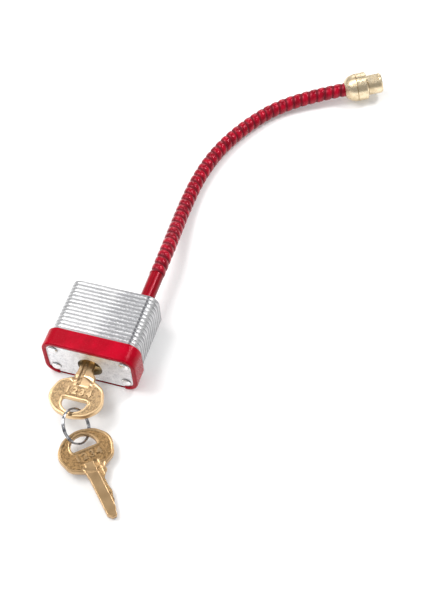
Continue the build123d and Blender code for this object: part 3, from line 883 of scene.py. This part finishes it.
for side, joint, spring in (
    (1, "toe_lever_slide", "toe_lever_spring"),
    (-1, "heel_lever_slide", "heel_lever_spring"),
):
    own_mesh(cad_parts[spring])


# Keys: blanked from brass sheet and coined. A bright rim stands round the bow and its
# D-shaped hole, the field between is sandblasted, and the blade is milled and cut.
key_half_thickness = 0.95 * mm
bow_half_width = 8.5 * mm
bow_height = 12.6 * mm
shoulder_round = 3.5 * mm
shoulder_half_flat = 4.3 * mm
side_round = 5.1 * mm
side_drop = 5.9 * mm
end_round = 7.2 * mm
flank_round = 6.4 * mm
flank_side = 1.75 * mm
flank_drop = 5.75 * mm
hole_half_width = 4.05 * mm
hole_start = 6.3 * mm
hole_height = 4.7 * mm
hole_corner = 0.7 * mm
neck_half_width = 3.1 * mm
neck_length = 2.6 * mm
blade_spine = 2.9 * mm
blade_length = 17.3 * mm
cut_heights = (1.6 * mm, 1.1 * mm, 0.45 * mm, -0.15 * mm)
first_cut = 9.3 * mm
cut_pitch = 2.4 * mm
cut_half_flat = 0.45 * mm
grip_valley_height = 1.35 * mm
rim_width = 0.6 * mm
rim_slope = 0.3 * mm
field_depth = 0.26 * mm
edge_round = 0.16 * mm
grid_clearance = edge_round * 1.3
beside_share = 0.93
groove_side = 1.1 * mm
groove_half_width = 0.75 * mm
groove_wall = 0.4 * mm
groove_depth = 0.35 * mm
groove_field_share = 0.8
root_half_width = 2.3 * mm
root_length = 1.9 * mm
root_slope = 0.3 * mm
shoulder_chamfer = 0.6 * mm
tip_chamfer = 0.5 * mm
bow_steps = 120
arch_steps = 28
key_grid = 0.2 * mm
key_crease = math.radians(52)
key_gold = (0.78, 0.56, 0.32)
key_field_gold = (0.52, 0.36, 0.20)
# Painted shade: the spare key's brass is darker, for the dimmer light its tilted bow reflects.
spare_shaded_gold = (0.58, 0.39, 0.21)
spare_shaded_field_gold = (0.34, 0.21, 0.095)
pit_gold_share = 0.45
digit_height = 2.35 * mm
digit_boldness = 0.07 * mm
digit_relief = 0.22 * mm
digit_edge_round = 0.05 * mm
digit_size_per_height = 1.35
digit_spacing = 1.45
key_digits = "1234"


def bow_edge():
    """The bow's outline from its left shoulder round to its right one."""
    side_x = bow_half_width - side_round
    circles = [(Vector((0, -bow_height + end_round)), end_round)]
    for side in (-1, 1):
        circles.append((Vector((side * side_x, -side_drop)), side_round))
        circles.append((Vector((side * shoulder_half_flat, -shoulder_round)), shoulder_round))
    flanks = [(Vector((side * flank_side, -flank_drop)), flank_round) for side in (-1, 1)]
    points = []
    for step in range(bow_steps):
        angle = math.pi / 2 + 2 * math.pi * (step + 0.5) / bow_steps
        out = Vector((math.cos(angle), math.sin(angle)))
        reached = circles + flanks if out.y < 0 else circles
        centre, radius = max(reached, key=lambda circle: circle[0].dot(out) + circle[1])
        points.append(centre + out * radius)
    return points


def hole_edge():
    """The D-shaped hole, anticlockwise: a half ellipse and a bar with round corners."""
    middle = -hole_start - hole_corner
    arch_height = hole_height - hole_corner
    arch = [
        Vector((hole_half_width * math.cos(angle), middle + arch_height * math.sin(angle)))
        for angle in (math.pi * (1 + step / arch_steps) for step in range(arch_steps + 1))
    ]
    corner_x = hole_half_width - hole_corner
    right = arc((corner_x, middle), hole_corner, 15, 90, 5)
    left = arc((-corner_x, middle), hole_corner, 90, 165, 5)
    return arch + right + left


def blade_edge():
    """From the right shoulder up the cuts to the tip, and down the spine."""
    points = [
        (neck_half_width, 0.0),
        (neck_half_width, neck_length),
        (neck_half_width - shoulder_chamfer, neck_length + 0.5 * mm),
        (grip_valley_height, neck_length + 1.9 * mm),
        (grip_valley_height, first_cut - cut_half_flat - 1.6 * mm),
    ]
    for number, height in enumerate(cut_heights):
        middle = first_cut + number * cut_pitch
        points.append((height, middle - cut_half_flat))
        if number < len(cut_heights) - 1:
            points.append((height, middle + cut_half_flat))
    points += [
        (cut_heights[-1], blade_length - tip_chamfer),
        (cut_heights[-1] - tip_chamfer, blade_length),
        (-blade_spine + 1.2 * mm, blade_length),
        (-blade_spine, blade_length - 1.4 * mm),
        (-blade_spine, neck_length + 0.4 * mm),
        (-neck_half_width, neck_length),
        (-neck_half_width, 0.0),
    ]
    return [Vector(point) for point in points]


def stepped(loop, pitch):
    """A closed loop with points added, so that none lie more than pitch apart."""
    points = []
    for start, end in zip(loop, loop[1:] + loop[:1]):
        count = max(1, math.ceil((end - start).length / pitch))
        points += [start.lerp(end, step / count) for step in range(count)]
    return points


def inside(loop, point):
    """Whether a point lies inside a closed loop."""
    within = False
    for start, end in zip(loop, loop[1:] + loop[:1]):
        if (start.y > point.y) != (end.y > point.y):
            crossing = start.x + (point.y - start.y) / (end.y - start.y) * (end.x - start.x)
            if point.x < crossing:
                within = not within
    return within


def nearest_to(points):
    """A search tree over flat points."""
    tree = KDTree(len(points))
    for number, point in enumerate(points):
        tree.insert((point.x, point.y, 0.0), number)
    tree.balance()
    return lambda point: tree.find((point.x, point.y, 0.0))[2]


def offset_points(loop, inward, distance):
    """Points at a distance beside a loop, on its left where inward is 1."""
    points = []
    for before, point, after in zip(loop[-1:] + loop[:-1], loop, loop[1:] + loop[:1]):
        along = (after - before).normalized()
        points.append(point + inward * distance * Vector((-along.y, along.x)))
    return points


def key_blank():
    """The key's mesh about its own shoulder, with its field marked for the material."""
    outline = stepped(blade_edge() + bow_edge(), key_grid)
    opening = stepped(hole_edge(), key_grid)
    to_edge = nearest_to(outline + opening)
    rim_loop = [point for point in outline if point.y < -0.02 * mm or abs(point.x) > neck_half_width]
    to_rim = nearest_to(rim_loop + opening)

    beside = []
    for distance in (edge_round * 0.4, edge_round, rim_width, rim_width + rim_slope):
        for loop, inward in ((outline, 1), (opening, -1)):
            beside += [
                point for point in offset_points(loop, inward, distance)
                if to_edge(point) > distance * beside_share
            ]
    for slope in (0.0, root_slope):
        half = root_half_width + slope
        end = -root_length + root_slope - slope
        corners = [Vector(corner) for corner in ((-half, 0), (-half, end), (half, end), (half, 0))]
        beside += [point for point in stepped(corners, key_grid) if to_edge(point) > rim_width]
    columns = range(-math.ceil(bow_half_width / key_grid), math.ceil(bow_half_width / key_grid) + 1)
    rows = range(-math.ceil(bow_height / key_grid), math.ceil(blade_length / key_grid) + 1)
    grid = [Vector((column * key_grid, row * key_grid)) for column in columns for row in rows]
    spread = [point for point in grid if to_edge(point) > grid_clearance]
    inner = [point for point in beside + spread if inside(outline, point) and not inside(opening, point)]

    fixed = outline + opening
    first_hole = len(outline)
    ring = [(step, (step + 1) % first_hole) for step in range(first_hole)]
    ring += [
        (first_hole + step, first_hole + (step + 1) % len(opening)) for step in range(len(opening))
    ]
    flat, _, faces, _, _, _ = delaunay_2d_cdt(fixed + inner, ring, [], 1, 1e-7)
    faces = [
        face for face in faces
        if not inside(opening, (flat[face[0]] + flat[face[1]] + flat[face[2]]) / 3)
    ]

    def relief(point, side):
        """Height of the top (side 1) or bottom (side -1) face, and how much is field."""
        from_middle = abs(point.x)
        on_blade = ramp(point.y, -root_length, -root_length + root_slope)
        on_blade *= 1 - ramp(from_middle, root_half_width, root_half_width + root_slope)
        on_blade = max(on_blade, ramp(point.y, -0.5 * mm, -0.1 * mm))
        off_rim = ramp(to_rim(point), rim_width, rim_width + rim_slope)
        field = off_rim * (1 - on_blade)
        height = key_half_thickness - field_depth * field
        from_groove = abs(point.x + side * groove_side)
        groove = 1 - ramp(from_groove, groove_half_width - groove_wall, groove_half_width)
        groove *= ramp(point.y, -root_length + root_slope, -root_length + 3 * root_slope)
        height -= groove_depth * groove
        from_edge = min(edge_round, to_edge(point))
        height -= edge_round - math.sqrt(edge_round**2 - (edge_round - from_edge) ** 2)
        return side * height, max(field * (1 - groove), groove_field_share * groove)

    shell = bmesh.new()
    field_layer = shell.verts.layers.float.new("field")
    sides = []
    for side in (1, -1):
        layer = []
        for point in flat:
            height, field = relief(point, side)
            vertex = shell.verts.new((point.x, point.y, height))
            vertex[field_layer] = field
            layer.append(vertex)
        sides.append(layer)
    for a, b, c in faces:
        shell.faces.new((sides[0][a], sides[0][b], sides[0][c]))
        shell.faces.new((sides[1][c], sides[1][b], sides[1][a]))
    partner = {top: bottom for top, bottom in zip(*sides)}
    for edge in [edge for edge in shell.edges if edge.is_boundary and edge.verts[0] in partner]:
        first, second = edge.verts
        shell.faces.new((first, second, partner[second], partner[first]))
    loose = [vertex for vertex in shell.verts if not vertex.link_faces]
    bmesh.ops.delete(shell, geom=loose, context="VERTS")
    bmesh.ops.recalc_face_normals(shell, faces=shell.faces)
    for face in shell.faces:
        face.smooth = True
    mesh = bpy.data.meshes.new("key_blank")
    shell.to_mesh(mesh)
    shell.free()
    mesh.set_sharp_from_angle(angle=key_crease)
    return mesh


def key_material(name, gold, field_gold):
    """Coined brass: bright on the rim and blade, sandblasted and darker in the field."""
    material, shader = new_material(name, gold, 0.26, 1.0)
    tree = material.node_tree
    join = tree.links.new
    field = new_node(tree, "ShaderNodeAttribute", attribute_name="field")
    sand = grain_mask(tree, 3600.0, 7.0, 0.3, 0.7)
    scuffs = grain_mask(tree, (260.0, 2600.0, 900.0), 3.0, 0.52, 0.72)
    tarnish = grain_mask(tree, 330.0, 12.0, 0.3, 0.8)
    wear_and_shade = mix_color(tree, calc(tree, "MULTIPLY", tarnish, 0.5), gold, field_gold)
    pits = grain_mask(tree, 1700.0, 9.0, 0.42, 0.62)
    pit_gold = [pit_gold_share * part for part in field_gold]
    pitted = mix_color(tree, calc(tree, "MULTIPLY", pits, 0.8), field_gold, pit_gold)
    join(mix_color(tree, field.outputs["Fac"], wear_and_shade, pitted), shader.inputs["Base Color"])
    rough = calc(tree, "MULTIPLY_ADD", field.outputs["Fac"], 0.14, 0.30)
    join(calc(tree, "MULTIPLY_ADD", scuffs, 0.10, rough), shader.inputs["Roughness"])
    sandy = calc(tree, "MULTIPLY", sand, field.outputs["Fac"])
    add_bump(tree, shader, calc(tree, "MULTIPLY_ADD", scuffs, -0.15, sandy), 0.07 * mm)
    return material


def raised_digits(turn):
    """Plain digits in relief on the face that turn brings up."""
    words = bpy.data.curves.new("key_digits", "FONT")
    words.body = key_digits
    words.size = digit_height * digit_size_per_height
    words.space_character = digit_spacing
    words.align_x = "CENTER"
    words.align_y = "CENTER"
    words.extrude = digit_relief / 2
    words.bevel_depth = digit_edge_round
    words.offset = digit_boldness
    holder = bpy.data.objects.new("key_digits", words)
    bpy.context.scene.collection.objects.link(holder)
    seen_state = holder.evaluated_get(bpy.context.evaluated_depsgraph_get())
    mesh = bpy.data.meshes.new_from_object(seen_state)
    bpy.data.objects.remove(holder)
    face_height = key_half_thickness - field_depth + digit_relief / 2
    middle = Matrix.Translation((0, -(hole_start - rim_width + root_length) / 2, 0))
    mesh.transform(middle @ turn @ Matrix.Translation((0, 0, face_height)))
    return mesh


def joined(name, first, second, place):
    """One mesh of two, moved to its place."""
    shell = bmesh.new()
    shell.from_mesh(first)
    shell.from_mesh(second)
    shell.transform(place)
    mesh = bpy.data.meshes.new(name)
    shell.to_mesh(mesh)
    shell.free()
    return mesh


key_shoulder = Vector((0.0, -8.7 * mm, 7.3 * mm))
spare_shoulder = Vector((11.92 * mm, -32.73 * mm, 2.80 * mm))
spare_heading = math.radians(44.3)
spare_tilt = math.radians(6.2)
spare_roll = math.radians(4.1)


def spare_place():
    """Where the spare key lies: its tip on the table, its bow held up by the ring."""
    forward = Vector((
        math.sin(spare_heading) * math.cos(spare_tilt),
        -math.cos(spare_heading) * math.cos(spare_tilt),
        -math.sin(spare_tilt),
    ))
    across = Vector((math.cos(spare_heading), math.sin(spare_heading), 0.0))
    side = across * math.cos(spare_roll) + across.cross(forward) * math.sin(spare_roll)
    turn = Matrix((side, forward, side.cross(forward))).transposed()
    return Matrix.Translation(spare_shoulder) @ turn.to_4x4()


blank = key_blank()
front_digits = raised_digits(Matrix.Identity(4))
lock_key_mesh = joined("key_in_lock_brass", blank, front_digits, Matrix.Translation(key_shoulder))
lock_key_mesh.materials.append(key_material("key_brass", key_gold, key_field_gold))
add_piece("key_in_lock_brass", lock_key_mesh, "key", ["key_in_lock"])
back_digits = raised_digits(Matrix.Rotation(math.pi, 4, "X"))
spare_key_mesh = joined("spare_key_brass", blank, back_digits, spare_place())
spare_key_mesh.materials.append(key_material("spare_key_brass", spare_shaded_gold, spare_shaded_field_gold))
add_piece("spare_key_brass", spare_key_mesh, "spare_key", ["key_spare"])


# Split ring: spring wire coiled for two turns, with its two cut ends at the step where
# one turn crosses to the other. It hangs through the holes of both bows.
ring_low, ring_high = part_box("key_ring")
ring_middle = (Vector(ring_low) + Vector(ring_high)) / 2
ring_axis = Vector((0.798, 0.108, 0.593)).normalized()
ring_radius = 5.36 * mm
ring_wire = 0.31 * mm
ring_offset = 0.30 * mm
ring_line_steps = 160
ring_wire_step = 0.15 * mm
ring_wire_sides = 20
step_half_angle = math.radians(20)
cut_end_share = 0.9
ring_step_place = math.radians(150)
ring_bright = (0.56, 0.56, 0.57)
ring_dull = (0.20, 0.20, 0.22)


def ring_line():
    """The wire's line: round once, over the step, and round again."""
    across = ring_axis.orthogonal().normalized()
    upright = ring_axis.cross(across)
    start = step_half_angle * cut_end_share
    end = 4 * math.pi - step_half_angle * cut_end_share
    points = []
    for step in range(ring_line_steps + 1):
        angle = start + (end - start) * step / ring_line_steps
        rise = 2 * ramp(angle, 2 * math.pi - step_half_angle, 2 * math.pi + step_half_angle) - 1
        turned = angle + ring_step_place
        out = across * math.cos(turned) + upright * math.sin(turned)
        points.append(ring_middle + out * ring_radius + ring_axis * rise * ring_offset)
    line = bpy.data.meshes.new("ring_line")
    line.from_pydata(points, [(step, step + 1) for step in range(ring_line_steps)], [])
    return line


def ring_material():
    """Bright nickel plate with fine draw lines."""
    material, shader = new_material("ring_nickel", ring_bright, 0.14, 1.0)
    tree = material.node_tree
    dull = grain_mask(tree, 900.0, 2.0)
    tree.links.new(mix_color(tree, dull, ring_bright, ring_dull), shader.inputs["Base Color"])
    tree.links.new(calc(tree, "MULTIPLY_ADD", dull, 0.10, 0.08), shader.inputs["Roughness"])
    add_bump(tree, shader, dull, 0.006 * mm)
    return material


ring_mesh = grow("split_ring", ring_line(), cord, {
    "Radius": ring_wire,
    "Rib Depth": 0.0,
    "Rib Pitch": 1.0 * mm,
    "Step": ring_wire_step,
    "Sides": ring_wire_sides,
    "Material": ring_material(),
})
add_piece("split_ring", ring_mesh, "key_ring", ["key_ring"])
